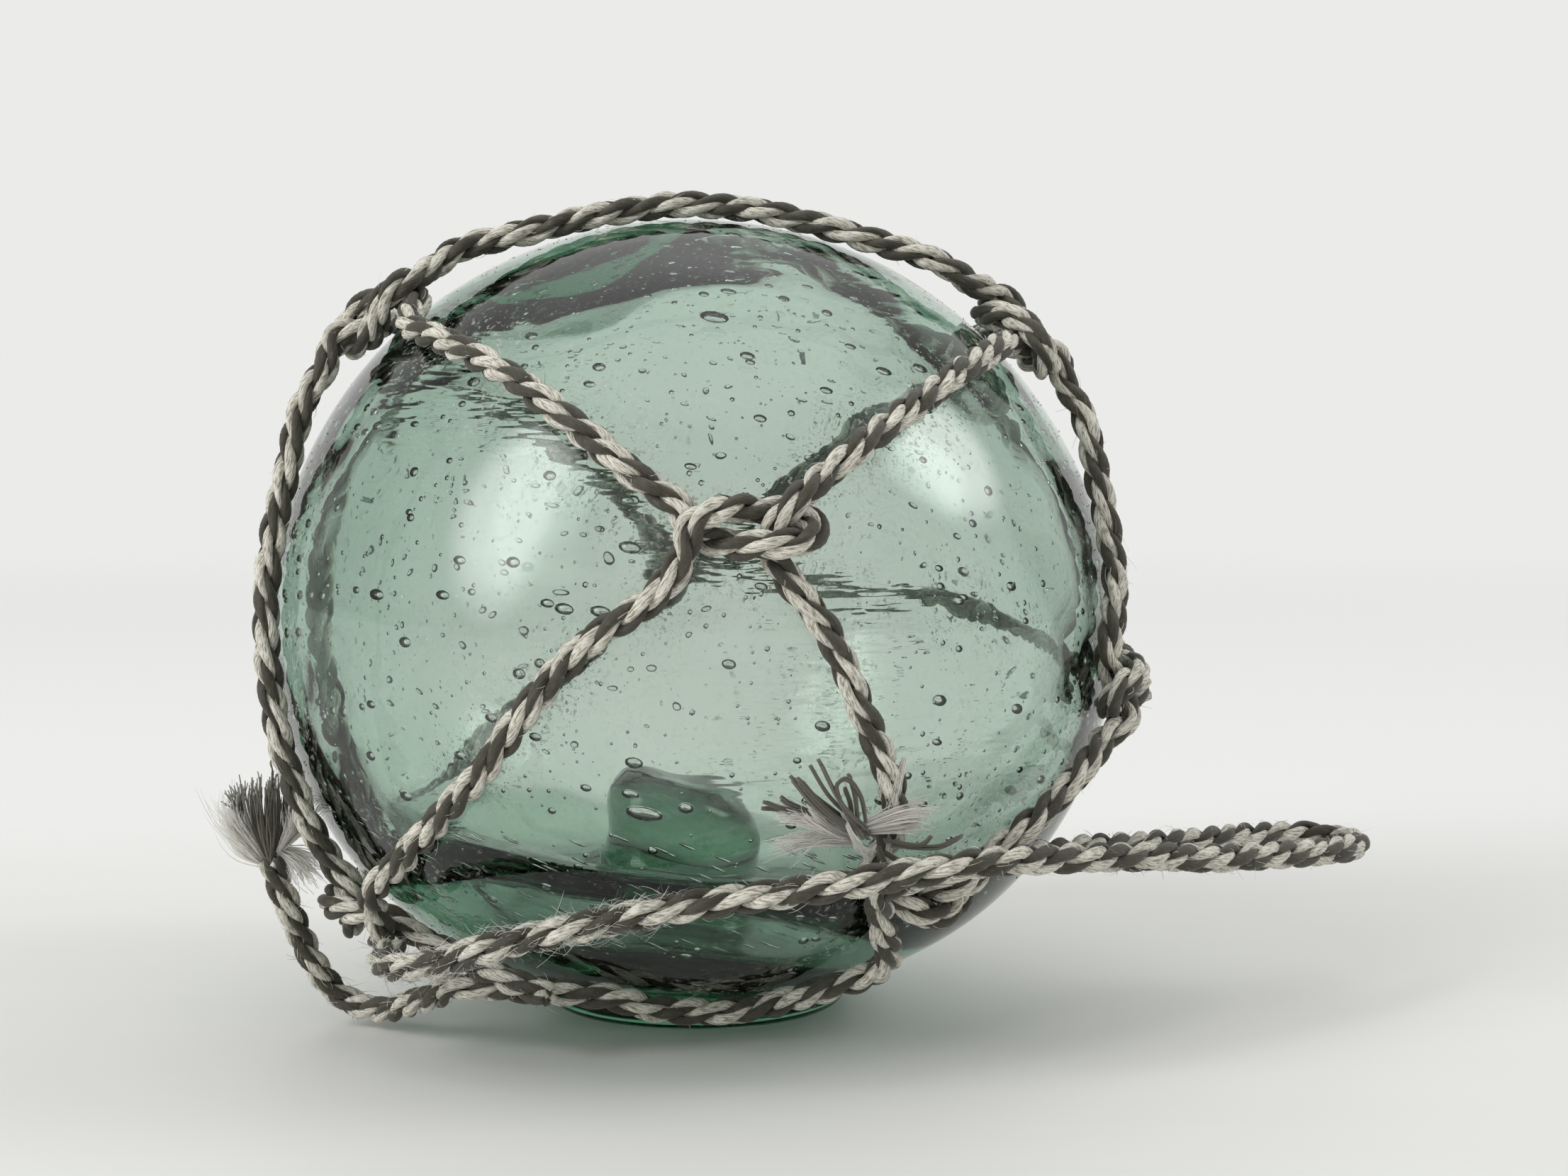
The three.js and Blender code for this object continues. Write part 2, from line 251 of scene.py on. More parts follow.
# The middle line of one cord of the net
def traceCord(stops, endLayer=0, closed=False):
    made = []
    for knot, name, backwards, by in stops:
        azimuth, elevation, _, lift = knots[knot]
        places = passes[name][::-1] if backwards else passes[name]
        made.append({
            "way": direction(azimuth, elevation),
            "by": [direction(*place) for place in by],
            "points": [onKnot(knot, *place) for place in places],
            "enter": places[0][2] * cord["rise"] + lift,
            "leave": places[-1][2] * cord["rise"] + lift,
        })
    points = []
    runs = []
    for i, here in enumerate(made):
        after = made[i + 1] if i + 1 < len(made) else made[0] if closed else None
        ways = [here["way"], *here["by"], *([after["way"]] if after else [])]
        if after:
            run = makeRun(ways, here["leave"], after["enter"], cord["armLength"])
            after["points"][0] = bendArm(after["way"], after["points"][0], run[-1], after["enter"])
        else:
            run = makeRun(ways, here["leave"], endLayer * cord["rise"], 0)
        here["points"][-1] = bendArm(here["way"], here["points"][-1], run[0], here["leave"])
        runs.append(run)
    for here, run in zip(made, runs):
        points += here["points"] + run
    if closed:
        return points + points[:3]
    return points[cord["stubCut"]:]


# A socket on which maths can be written: each sign adds its node
class Signal:
    def __init__(self, finish, socket):
        self.finish, self.socket = finish, socket

    def maths(self, operation, *values):
        return self.finish.node("ShaderNodeMath", {"operation": operation}, dict(enumerate(values)))

    def __add__(self, other):
        return self.maths("ADD", self, other)

    def __sub__(self, other):
        return self.maths("SUBTRACT", self, other)

    def __rsub__(self, other):
        return self.maths("SUBTRACT", other, self)

    def __mul__(self, other):
        return self.maths("MULTIPLY", self, other)

    def __pow__(self, other):
        return self.maths("POWER", self, other)

    __radd__, __rmul__ = __add__, __mul__

    def between(self, low, high):
        return self.finish.node(
            "ShaderNodeMapRange", {"interpolation_type": "SMOOTHSTEP"}, {0: self, 1: low, 2: high}
        )


# The nodes of a material, light or world
class Finish:
    def __init__(self, owner):
        owner.use_nodes = True
        self.owner, self.tree = owner, owner.node_tree
        self.tree.nodes.clear()

    def node(self, kind, settings=None, sockets=None, out=0):
        made = self.tree.nodes.new(kind)
        for name, value in (settings or {}).items():
            setattr(made, name, value)
        for name, value in (sockets or {}).items():
            if isinstance(value, Signal):
                self.tree.links.new(value.socket, made.inputs[name])
            else:
                made.inputs[name].default_value = value
        return Signal(self, made.outputs[out] if made.outputs else None)

    def attribute(self, name):
        return self.node("ShaderNodeAttribute", {"attribute_name": name}, out="Fac")

    def place(self, source="Object", scale=(1, 1, 1), turn=(0, 0, 0)):
        start = self.node("ShaderNodeTexCoord", out=source)
        return self.node("ShaderNodeMapping", {}, {"Vector": start, "Scale": scale, "Rotation": turn})

    def noise(self, place, scale, detail=2, rough=0.5, warp=0):
        return self.node(
            "ShaderNodeTexNoise", {},
            {"Vector": place, "Scale": scale, "Detail": detail, "Roughness": rough, "Distortion": warp},
        )

    def blend(self, share, first, second):
        return self.node("ShaderNodeMix", {"data_type": "RGBA"}, {0: share, 6: first, 7: second}, out=2)

    def bump(self, height, distance, strength=1, before=None):
        sockets = {"Height": height, "Distance": distance, "Strength": strength}
        if before:
            sockets["Normal"] = before
        return self.node("ShaderNodeBump", {}, sockets)

    def output(self, sockets, kind="Material"):
        self.node("ShaderNodeOutput" + kind, {}, sockets)
        return self.owner


# Yarn colours: the light yarns' shade tone is painted shade in the grooves between fibres, and the dark
# yarns' ridge tone a painted highlight on the fibre ridges
twine = {
    "dark": (0.045, 0.041, 0.024, 1), "darkRidgeSheen": (0.13, 0.12, 0.085, 1),
    "light": (0.86, 0.83, 0.74, 1), "lightGrooveShade": (0.3, 0.275, 0.2, 1), "stain": (0.27, 0.2, 0.12, 1),
}


def twineFinish(name, stained):
    made = Finish(bpy.data.materials.new(name))
    along = made.place("UV")
    dark = made.attribute("dark")
    threads = made.noise(made.place("UV", (1, 0.05, 1)), 19, 3, 0.6)
    fine = made.noise(made.place("UV", (1, 0.04, 1)), 46, 2, 0.6)
    patches = made.noise(along, 0.55, 3, 0.6)
    # Painted shade: the light yarn is darker in the grooves between its fibres, where the thread bump is low
    lightYarn = made.blend(threads.between(0.36, 0.56), twine["lightGrooveShade"], twine["light"])
    lightYarn = made.blend(
        made.noise(made.place(), 95, 4, 0.65).between(0.62, 0.8) * stained, lightYarn, twine["stain"]
    )
    # Painted highlight: the dark yarn is lighter on its fibre ridges, where the thread bump is high
    darkYarn = made.blend(threads.between(0.5, 0.78), twine["dark"], twine["darkRidgeSheen"])
    colour = made.blend(dark, lightYarn, darkYarn)
    colour = made.blend(patches.between(0.4, 0.8) * 0.25, colour, (0.2, 0.18, 0.15, 1))
    height = threads * 0.7 + fine * 0.3
    return made.output({"Surface": made.node("ShaderNodeBsdfPrincipled", {}, {
        "Base Color": colour,
        "Roughness": threads.between(0.3, 0.7) * 0.2 + 0.42,
        "Normal": made.bump(height, 0.00026, 1),
        "Sheen Weight": 0.2, "Sheen Roughness": 0.4, "Specular IOR Level": 0.5,
    })})


netTwine = twineFinish("net twine", 0.7)
looseTwine = twineFinish("loose twine", 0.25)

fuzzMade = Finish(bpy.data.materials.new("loose fibres"))
fuzzFinish = fuzzMade.output({"Surface": fuzzMade.node("ShaderNodeBsdfPrincipled", {}, {
    "Base Color": fuzzMade.blend(fuzzMade.attribute("dark"), (0.92, 0.89, 0.82, 1), (0.1, 0.092, 0.065, 1)),
    "Roughness": 0.6, "Sheen Weight": 0.3,
    "Subsurface Weight": 0.5, "Subsurface Radius": (1, 1, 1), "Subsurface Scale": 0.0008,
})})
print("cord finishes made")


# Directions along a line and two across it that don't twist
def lineFrame(line):
    ahead = unit(np.gradient(line, axis=0))
    out = [unit(np.cross(ahead[0], (0.31, 0.52, 0.79)))]
    for way in ahead[1:]:
        out.append(unit(out[-1] - way * (out[-1] @ way)))
    out = np.array(out)
    return ahead, out, np.cross(ahead, out)


# Collects tubes into one mesh
class Bundle:
    def __init__(self):
        self.places, self.faces, self.maps, self.dark, self.count = [], [], [], [], 0

    def tube(self, line, radius, sides, dark, outward=None, flat=1.0, start=0.0):
        line = np.asarray(line, float)
        number = len(line)
        ahead, out, over = lineFrame(line)
        if outward is not None:
            out = unit(outward - ahead * np.sum(outward * ahead, axis=1, keepdims=True))
            over = np.cross(ahead, out)
        turn = (np.arange(sides) / sides * 2 * math.pi)[None, :, None]
        radius = np.broadcast_to(radius, number)[:, None, None]
        ring = np.cos(turn) * out[:, None] * flat + np.sin(turn) * over[:, None]
        self.places.append((line[:, None] + radius * ring).reshape(-1, 3))
        length = np.concatenate([[0], np.cumsum(np.linalg.norm(np.diff(line, axis=0), axis=1))]) + start
        ringAt, side = np.meshgrid(np.arange(number - 1), np.arange(sides), indexing="ij")
        ringAt, side = ringAt.ravel(), side.ravel()
        beside = (side + 1) % sides
        base = self.count
        quads = np.stack([
            base + ringAt * sides + side, base + ringAt * sides + beside,
            base + (ringAt + 1) * sides + beside, base + (ringAt + 1) * sides + side,
        ], axis=1)
        self.faces += quads.tolist()
        low, high = side / sides, (side + 1) / sides
        near, far = length[ringAt], length[ringAt + 1]
        self.maps.append(np.stack([low, near, high, near, high, far, low, far], axis=1).reshape(-1, 2))
        ends = [list(range(base, base + sides))[::-1],
                list(range(base + (number - 1) * sides, base + number * sides))]
        self.faces += ends
        self.maps.append(np.zeros((2 * sides, 2)))
        self.dark.append(np.full(number * sides, float(dark)))
        self.count += number * sides

    def build(self, name, material):
        mesh = bpy.data.meshes.new(name)
        mesh.from_pydata((np.concatenate(self.places) * mm).tolist(), [], self.faces)
        mesh.polygons.foreach_set("use_smooth", [True] * len(mesh.polygons))
        mesh.uv_layers.new(name="yarn").data.foreach_set("uv", np.concatenate(self.maps).ravel())
        mesh.attributes.new("dark", "FLOAT", "POINT").data.foreach_set("value", np.concatenate(self.dark))
        mesh.materials.append(material)
        made = bpy.data.objects.new(name, mesh)
        bpy.context.collection.objects.link(made)
        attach(made, "root")
        return made


lay = {
    "strands": 3, "pitch": 10.8, "tailPitch": 9, "out": 0.8,  # three strands laid round each other
    # a dark and a light yarn twisted the other way in each
    "twist": 2.1, "between": 2.1, "wander": 0.5, "yarnOut": 0.36, "yarnRadius": 0.64, "flat": 0.74,
    "step": 0.45, "sides": 10,
}


# Lays a cord along a line: each yarn with its line, its outward side, its thickness and whether it is dark
def layCord(line, start=0.0, size=1.0, pitch=lay["pitch"]):
    _, out, over = lineFrame(line)
    step = np.linalg.norm(line[1] - line[0])
    length = np.arange(len(line)) * step
    laid = np.cumsum(2 * math.pi * step / np.broadcast_to(pitch, len(line)))
    slack = chance.uniform(0, 9)
    yarns = []
    for strand in range(lay["strands"]):
        turn = start - laid + strand * 2 * math.pi / 3 + 0.16 * np.sin(length / 9 + strand * 2.1 + slack)
        rim = out * np.cos(turn)[:, None] + over * np.sin(turn)[:, None]
        middle = line + rim * lay["out"] * size
        beside = unit(np.cross(unit(np.gradient(middle, axis=0)), rim))
        for yarn in range(2):
            twist = yarn * math.pi - lay["twist"] * (turn - start) + strand * lay["between"]
            twist = twist + lay["wander"] * (
                np.sin(length / 6.1 + strand * 2.6 + slack)
                + 0.6 * np.sin(length / 2.7 + strand * 1.3 - slack)
            )
            aside = rim * np.cos(twist)[:, None] + beside * np.sin(twist)[:, None]
            swell = 1 + 0.07 * np.sin(length / 2.9 + strand * 1.7 + yarn * 2.6 + slack)
            yarns.append((
                middle + aside * lay["yarnOut"] * size, aside, lay["yarnRadius"] * swell * size, yarn == 0,
            ))
    return yarns


def addYarns(bundle, yarns, first=0, last=None):
    for line, side, radius, dark in yarns:
        part = slice(first, last)
        bundle.tube(
            line[part], radius[part], lay["sides"], dark, side[part], lay["flat"],
            chance.uniform(0, 90) + first * lay["step"],
        )


loose = {  # fibres for each ring of a net cord, on the other cords, and how far they stand off
    "perRing": 0.45, "netReach": 1.5, "loop": 520, "loopReach": 1.9,
    "loopStart": 800, "startRings": 100, "startReach": 2.3, "tail": 200, "tailReach": 1.7,
    "root": 1.328, "radii": (0.034, 0.014), "darkShare": 0.22,
}


# Fine fibres that stand off a cord
def addFuzz(bundle, line, number, reach):
    ahead, out, over = lineFrame(line)
    for _ in range(number):
        spot = chance.integers(2, len(line) - 2)
        turn = chance.uniform(0, 2 * math.pi)
        rim = out[spot] * math.cos(turn) + over[spot] * math.sin(turn)
        length = reach * chance.uniform(0.35, 1) ** 1.6
        lean = ahead[spot] * chance.choice([-1, 1]) * chance.uniform(0.6, 1.4)
        curl = unit(chance.normal(size=3)) * chance.uniform(0.3, 0.9)
        places = np.linspace(0, 1, 6)[:, None]
        root = line[spot] + rim * loose["root"]
        fibre = root + length * (
            (rim * 0.75 + lean) * places + curl * places ** 2 - rim * 0.35 * places ** 3
        )
        bundle.tube(
            fibre, np.linspace(*loose["radii"], 6) * chance.uniform(0.7, 1.3), 3,
            chance.random() < loose["darkShare"],
        )


def routeLine(points):
    return evenLine(smoothLine(points, (len(points) - 1) * 14 + 1), lay["step"])


netLines = []
fuzz = Bundle()
for number, settings in enumerate(netCords):
    points = traceCord(**settings)
    tailStart, pitch = None, lay["pitch"]
    if number == 1:  # the bottom cord goes on as the tail, which is laid tighter
        line = routeLine(points[:-1] + list(tailRoute))
        tailStart = int(np.argmin(np.linalg.norm(line - tailRoute[0], axis=1)))
        pitch = np.interp(np.arange(len(line)), [tailStart, tailStart + 30], [pitch, lay["tailPitch"]])
    else:
        line = routeLine(points)
    yarns = layCord(line, number * 0.7, 1, pitch)
    rope = Bundle()
    addYarns(rope, yarns, 0, tailStart + 2 if tailStart else None)
    made = rope.build(f"net_cord_{number + 1}", netTwine)
    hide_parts("cord_net")
    netLine = line[:tailStart]
    netLines.append(netLine)
    addFuzz(fuzz, netLine, int(len(netLine) * loose["perRing"]), loose["netReach"])
    if tailStart:
        tail = Bundle()
        addYarns(tail, yarns, tailStart)
        tailObject = tail.build("tail_cord", looseTwine)
        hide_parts("left_tail")
        tailLine = line[tailStart:]
netFuzz = fuzz.build("net_fuzz", fuzzFinish)
print("net tied")

loopLine = routeLine(loopRoute)
loop = Bundle()
addYarns(loop, layCord(loopLine, start=2.2, size=1.04))
loopObject = loop.build("loop_cord", looseTwine)
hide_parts("hanging_loop")
loopFuzz = Bundle()
addFuzz(loopFuzz, loopLine, loose["loop"], loose["loopReach"])
addFuzz(loopFuzz, loopLine[:loose["startRings"]], loose["loopStart"], loose["startReach"])
loopFuzzObject = loopFuzz.build("loop_fuzz", fuzzFinish)
print("hanging loop laid")


# One yarn end with its fibres spread about a line of points
def wisp(bundle, points, number, width, radius, dark=False, shortest=0.6, curl=0.35):
    line = smoothLine(points, 11)
    _, out, over = lineFrame(line)
    share = np.linspace(0, 1, 11)[:, None]
    for _ in range(number):
        aside, above = chance.normal(size=2) * width * (0.5, 0.3)
        fibre = line + (out * above + over * aside) * (0.25 + share * 0.9)
        fibre = fibre + chance.normal(size=3) * curl * share ** 2
        fibre = fibre + chance.normal(size=3) * curl * 0.4 * np.sin(share * chance.uniform(5, 9)) * share
        last = max(4, round(11 * chance.uniform(shortest, 1)))
        bundle.tube(fibre[:last], np.linspace(radius, radius * 0.4, last), 4, dark, None, 0.6)


tailEnd = tailLine[-1]
tailFray = {
    # tip of each dark yarn end from the cord's end: across, away and up
    "darkEnds": [(-1.9, -0.6, 8.9), (-1.0, -1.2, 9.5), (-0.3, 0.4, 9.6), (0.6, -0.8, 9.2), (1.4, 0.2, 8.7),
                 (1.1, 0.9, 7.2), (-1.6, 0.9, 7.6), (0.1, -1.5, 7.6), (-0.6, 1.3, 8.2)],
    "curls": [[(0.2, 0, 7.5), (0.3, -0.3, 10), (0.1, 0.2, 11.2), (0.9, 0.1, 12.4)],
              [(0.3, -0.3, 7.8), (0.8, -0.6, 9.6), (1.3, -0.9, 10.2)]],
    "outerEnds": [(-4.8, -0.2, 7.9), (-4.2, -0.8, 8.5), (-3.5, 0.3, 8.6), (-2.9, -0.4, 8.3),
                  (-4.4, 0.6, 7.3)],
    # points that each pale wisp goes by, its fibres and its width
    "wisps": [([(-1.0, 0, 0), (-2.6, -0.4, 2.2), (-4.3, -0.3, 4.4), (-4.9, 0.1, 7.4)], 240, 2.1),
              ([(-1.0, 0.5, -0.5), (-3.0, 0.2, 1.4), (-3.6, 0.6, 4.6)], 150, 1.8),
              ([(0.8, -0.3, 0.8), (2.1, -0.6, 3.6), (2.4, -0.4, 7.0)], 130, 1.3),
              ([(1.0, 0, 1.2), (3.2, 0.8, 4.0), (5.8, 1.4, 7.2)], 110, 1.7),
              ([(0.9, 0, 1.0), (2.8, 0.2, -0.2), (4.6, 0.5, -2.6)], 190, 2.0)],
}
frayTail = Bundle()
for tip in tailFray["darkEnds"]:
    tip = np.array(tip)
    for _ in range(5):
        end = tip + chance.normal(size=3) * 0.3
        wisp(frayTail, [tailEnd + tip * (0, 0, -0.1), tailEnd + end * (0.9, 0.9, 0.5), tailEnd + end],
             3, 0.6, 0.21, True, 0.85)
for tip in tailFray["outerEnds"]:
    outer = [tailEnd + (-2.2, 0, 3), tailEnd + (-3.4, 0, 5.6), tailEnd + tip]
    wisp(frayTail, outer, 8, 0.7, 0.18, True, 0.85)
for points in tailFray["curls"]:
    wisp(frayTail, [tailEnd + point for point in points], 2, 0.15, 0.17, True, 0.95)
for points, number, width in tailFray["wisps"]:
    wisp(frayTail, [tailEnd + point for point in points], number, width, 0.07, curl=0.75)
frayTailObject = frayTail.build("tail_fray", fuzzFinish)
tailFuzz = Bundle()
addFuzz(tailFuzz, tailLine, loose["tail"], loose["tailReach"])
tailFuzzObject = tailFuzz.build("tail_fuzz", fuzzFinish)
print("tail frayed")

frontFray = {  # azimuth, elevation and height over the glass of the points that each yarn goes by
    "dark": [[(21.9, -21.9, 2.6), (16.1, -16.4, 4.4), (13.4, -11.7, 3.6)],
             [(21.5, -21.6, 2.2), (15, -16, 3.6), (12.7, -12.6, 3.0)],
             [(20.5, -21.8, 2.6), (14, -17.6, 3.6), (10.6, -13.9, 2.6)],
             [(20.8, -21.5, 3.0), (14.6, -17.3, 4.4), (11.2, -13.8, 3.4)],
             [(20, -21.1, 2.2), (13.6, -16.3, 2.8), (11.7, -14.8, 2.2)],
             [(19.9, -21.5, 3.4), (15.7, -15.7, 4.6), (15.5, -14.3, 4.4), (16.7, -14, 4.0),
              (18.7, -16.2, 3.8), (20, -19.5, 3.4)],
             [(19.5, -21.1, 2.8), (18, -16.2, 3.8), (17.1, -13.6, 3.4)],
             [(19, -21.1, 2.4), (17.8, -17.1, 3.2), (17, -15.3, 3.0)],
             [(16.5, -19.9, 1.6), (9.7, -18, 2.0), (7.8, -17.4, 1.6)],
             [(16.5, -20.2, 1.4), (10, -18.5, 1.6), (7.7, -18.4, 1.3)],
             [(15.4, -19.5, 1.6), (10.8, -17.3, 2.2), (9.8, -16.7, 1.8)],
             [(22.1, -22.6, 3.6), (23.2, -24.5, 4.4), (24.8, -25.9, 4.2)],
             [(22.7, -21.8, 3.6), (26.9, -21.8, 5.0), (27.8, -20.7, 5.2)],
             [(22.9, -23.2, 3.8), (27.9, -25.2, 5.2), (30.8, -24.7, 5.0)],
             [(23.6, -22.2, 3.8), (29.3, -22.2, 5.0), (32.6, -21.3, 4.8)]],
    # the same for the pale wisps, with their fibres and width
    "pale": [([(20, -20.4, 2.6), (24.8, -18.5, 3.2), (29.5, -19.2, 2.4)], 130, 1.5),
             ([(20.9, -20.9, 2.8), (25.1, -20.1, 3.4), (28.9, -20.6, 2.6)], 90, 1.2),
             ([(18.7, -21.9, 2.0), (12.2, -19.1, 2.0), (9.1, -18.6, 1.4)], 110, 1.2),
             ([(18.4, -22.2, 1.8), (14.2, -19.2, 2.4), (12.7, -17.5, 1.8)], 70, 1.3),
             ([(20, -23.1, 1.6), (13.6, -22.8, 1.2), (9.2, -23.8, 0.8)], 90, 1.2),
             ([(19.6, -22.8, 1.4), (15.2, -22.2, 1.0), (11.6, -25.3, 0.7)], 60, 1.2),
             ([(16.7, -18, 3.6), (18.3, -21, 4.6), (20.8, -23.9, 4.4)], 50, 0.45),
             ([(24.4, -12.5, 2.4), (23.6, -16, 2.6), (23.4, -20, 2.2)], 60, 1.0)],
}


def nearGlass(points):
    return [overGlass(direction(azimuth, elevation), height) for azimuth, elevation, height in points]


frayFront = Bundle()
for points in frontFray["dark"]:
    line = smoothLine(nearGlass(points), 18)
    frayFront.tube(line, np.linspace(0.25, 0.21, 18), 7, True)
    for _ in range(3):
        frayFront.tube(line[:17] + chance.normal(size=3) * 0.14, 0.11, 5, True)
for points, number, width in frontFray["pale"]:
    wisp(frayFront, nearGlass(points), number, width, 0.07)
frayFrontObject = frayFront.build("front_fray", fuzzFinish)
print("front end frayed")

wall = {
    # thickness at the sides, how much thinner the front and back are and how much thicker the bottom is
    "left": 5.0, "right": 4.0, "thinner": 1.4, "base": 1.2, "waves": 0.2,
    "crest": (-66, 69, 28, 4.2),  # direction, tightness and depth of the thick patch near the top
    # the thick glass at the bottom: its surface falls to the right and the back
    "slope": (-0.12, -0.09, 0), "ledge": 18.6, "ledgeDepth": 8.5, "ledgeSoft": 1.8,
    "floor": 12.2, "floorSoft": 1.0,
    # the lump in it, and its outline: shares of its reach, of its radius and of its height
    "lumpAt": (-2.7, 4.0), "lumpRadius": 9.6, "lumpTop": 25.6, "lumpTilt": -0.28, "lumpReach": 15.0,
    "lumpSteps": [0, 0.3, 0.4, 0.46, 0.52, 0.6, 0.78, 0.86, 1],
    "lumpSpread": [0, 0.5, 0.71, 0.84, 0.94, 1, 1.03, 1.1, 1],
    "lumpRise": [1, 0.98, 0.93, 0.86, 0.76, 0.6, 0.14, 0.04, 0],
    "segments": 170, "rings": 176,
}


# How thick the glass is at the sides
def sideWall(ways):
    right = (ways[..., 0] + 1) / 2
    return wall["left"] * (1 - right) + wall["right"] * right - wall["thinner"] * ways[..., 1] ** 2


# The half outline that the ball and its seal are spun from
def spunGlass():
    sealRadius = glass["sealWidth"] / 2
    neck = sealRadius + glass["sealFillet"]
    fullness = glass["fullness"]
    drop = glass["belly"] * (1 - (neck / (glass["width"] / 2)) ** fullness) ** (1 / fullness)
    outline = [(0, 0)]
    for turn in np.linspace(0, math.pi / 2, 7):
        outline.append((sealRadius - glass["sealRound"] * (1 - math.sin(turn)),
                        glass["sealRound"] * (1 - math.cos(turn))))
    foot = glassMiddle[2] - drop
    outline += [(sealRadius, foot - 0.55), (sealRadius + 0.22, foot - 0.2)]
    for up in np.concatenate([
        np.linspace(-math.atan2(drop, neck), 0, 56), np.linspace(0, math.pi / 2, 70)[1:]
    ]):
        reach = roundReach(np.array([math.cos(up), 0, math.sin(up)]))
        outline.append((math.cos(up) * reach, math.sin(up) * reach + glassMiddle[2]))
    outline[-1] = (0, outline[-1][1])
    return outline


def meshPlaces(mesh):
    flat = np.empty(len(mesh.vertices) * 3)
    mesh.vertices.foreach_get("co", flat)
    return flat.reshape(-1, 3) / mm


def moveTo(mesh, places):
    mesh.vertices.foreach_set("co", (places * mm).ravel())
    mesh.update()


def markAll(mesh, name, values):
    mesh.attributes.new(name, "FLOAT", "POINT").data.foreach_set("value", values)


# Runs mesh tools on the whole of the object just made
def editWhole(*tools):
    bpy.ops.object.mode_set(mode="EDIT")
    for tool, settings in tools:
        bpy.ops.mesh.select_all(action="SELECT")
        tool(**settings)
    bpy.ops.object.mode_set(mode="OBJECT")


def waves(places, size, seed):
    return np.array([noise.noise(Vector(place) / size + Vector((seed, 0, 0))) for place in places])


outline = spunGlass()
bpy.ops.mesh.primitive_plane_add(size=mm)
ball = bpy.context.object
ball.name = "float_glass"
ball.data.clear_geometry()
ball.data.from_pydata(
    [(out * mm, 0, up * mm) for out, up in outline], [(i, i + 1) for i in range(len(outline) - 1)], []
)
editWhole(
    (bpy.ops.mesh.spin, {"steps": 150, "angle": 2 * math.pi, "center": (0, 0, 0), "axis": (0, 0, 1)}),
    (bpy.ops.mesh.remove_doubles, {"threshold": 1e-6}),
    (bpy.ops.mesh.normals_make_consistent, {"inside": False}),
)
places = meshPlaces(ball.data)
ways = unit(places - glassMiddle)
dent = np.where(places[:, 2] > 3, flatDepth(ways), 0)
wavy = waves(places, 17, 3) * 0.16 * np.clip((places[:, 2] - 5) / 8, 0, 1)
moveTo(ball.data, places + ways * (wavy - dent)[:, None])

# The air space, with its lowest point turned to the lump so that the mesh rings run round the lump
bpy.ops.object.select_all(action="DESELECT")
bpy.ops.mesh.primitive_uv_sphere_add(segments=wall["segments"], ring_count=wall["rings"], radius=50 * mm)
cavity = bpy.context.object
lumpX, lumpY = wall["lumpAt"]
lumpWay = unit(np.array([lumpX, lumpY, wall["floor"] - glassMiddle[2]]))
down = np.array([0, 0, -1.0])
lean = math.acos(down @ lumpWay)
axis = unit(np.cross(down, lumpWay))
ways = unit(np.array([turned(way, axis, lean) for way in unit(meshPlaces(cavity.data))]))
crestAround, crestUp, crestTight, crestDepth = wall["crest"]
thick = sideWall(ways) + np.maximum(-ways[:, 2], 0) ** 2 * wall["base"]
thick = thick + crestDepth * np.maximum(0, ways @ direction(crestAround, crestUp)) ** crestTight
thick = thick + wall["waves"] * (
    waves(ways * 50, 15, 11) + 0.5 * waves(ways * 50, 7, 5) + 0.12 * waves(ways * 50 * (1, 1, 1.6), 3.4, 8)
)
inner = ways * (roundReach(ways) - flatDepth(ways) - thick)[:, None] + glassMiddle
ledge = wall["ledge"] + inner @ wall["slope"] + 1.2 * waves(inner, 14, 31) - inner[:, 2]
inward = wall["ledgeDepth"] * np.clip(ledge / wall["ledgeSoft"], 0, 1) ** 1.5
inner = inner - ways * (1, 1, 0) * inward[:, None]

# The floor of the air space, where the lump stands up
x, y = inner[:, 0] - lumpX, inner[:, 1] - lumpY
away = np.hypot(x, y)
square = away / np.maximum((np.abs(x) ** 3 + np.abs(y) ** 3) ** (1 / 3), 1e-6)  # 1 across the flats
reached = away / wall["lumpReach"]
spread = np.interp(reached, wall["lumpSteps"], wall["lumpSpread"])
risen = np.interp(reached, wall["lumpSteps"], wall["lumpRise"])
radius = spread * wall["lumpRadius"] * (1 + (np.minimum(square, 1.26) - 1) * 0.45)
rejoin = wall["lumpSteps"][-2]  # beyond this share the rings go back to their own places
radius = radius + (away - radius) * np.clip((reached - rejoin) / (1 - rejoin), 0, 1)
moved = np.where(reached < 1, radius / np.maximum(away, 1e-6), 1)
low = inner[:, 2] < glassMiddle[2] / 2
x, y = np.where(low, x * moved, x), np.where(low, y * moved, y)
floor = wall["floor"] + inner @ wall["slope"] + 0.9 * waves(inner * (1, 1, 0), 12, 21)
top = wall["lumpTop"] + wall["lumpTilt"] * x + 0.5 * waves(inner * (1, 1, 0), 6, 45)
floor = floor + (top - floor) * np.where(low, risen, 0)
gap = inner[:, 2] - floor
inner[:, 0], inner[:, 1] = x + lumpX, y + lumpY
inner[:, 2] = floor + (gap + np.sqrt(gap ** 2 + wall["floorSoft"] ** 2)) / 2
moveTo(cavity.data, inner)
editWhole((bpy.ops.mesh.flip_normals, {}))
markAll(cavity.data, "inner", np.ones(len(inner)))
print("glass blown")

